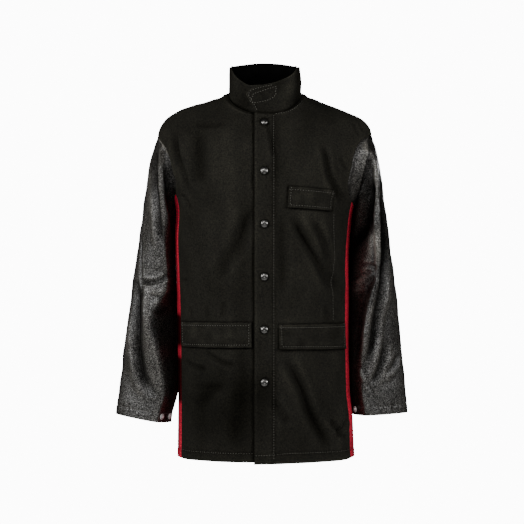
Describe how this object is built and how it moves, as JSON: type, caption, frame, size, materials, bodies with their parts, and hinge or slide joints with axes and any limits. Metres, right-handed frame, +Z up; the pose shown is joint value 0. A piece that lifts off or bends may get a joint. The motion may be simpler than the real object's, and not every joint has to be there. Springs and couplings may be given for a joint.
{
  "type": "leather-sleeved work jacket",
  "caption": "Hip-length work jacket in its worn shape: dark cotton body with red side panels, leather sleeves, a lapped stand collar, snap front and flapped pockets.",
  "frame": {"origin": "middle of the neck hole, level with the points where the collar meets the shoulder seams", "axes": "+Z up along the body, front facing -Y, +X towards the wearer's left"},
  "size_m": [0.612, 0.2717, 0.833],
  "materials": {
    "black_cotton": "matt black twill",
    "red_cotton": "matt red twill",
    "black_leather": "grained black leather, half gloss",
    "gunmetal": "dark gunmetal, domed",
    "nickel": "bright nickel"
  },
  "bodies": {
    "root": {"left_front": "black_cotton", "right_front": "black_cotton", "back": "black_cotton", "left_side": "red_cotton", "right_side": "red_cotton", "left_sleeve": "black_leather", "right_sleeve": "black_leather", "collar": "black_cotton", "chest_flap": "black_cotton", "right_hip_flap": "black_cotton", "left_hip_flap": "black_cotton", "front_snap_1": "gunmetal", "front_snap_2": "gunmetal", "front_snap_3": "gunmetal", "front_snap_4": "gunmetal", "front_snap_5": "gunmetal", "front_snap_6": "gunmetal", "left_cuff_snap_1": "nickel", "left_cuff_snap_2": "nickel", "right_cuff_snap_1": "nickel", "right_cuff_snap_2": "nickel"}
  },
  "joints": []
}
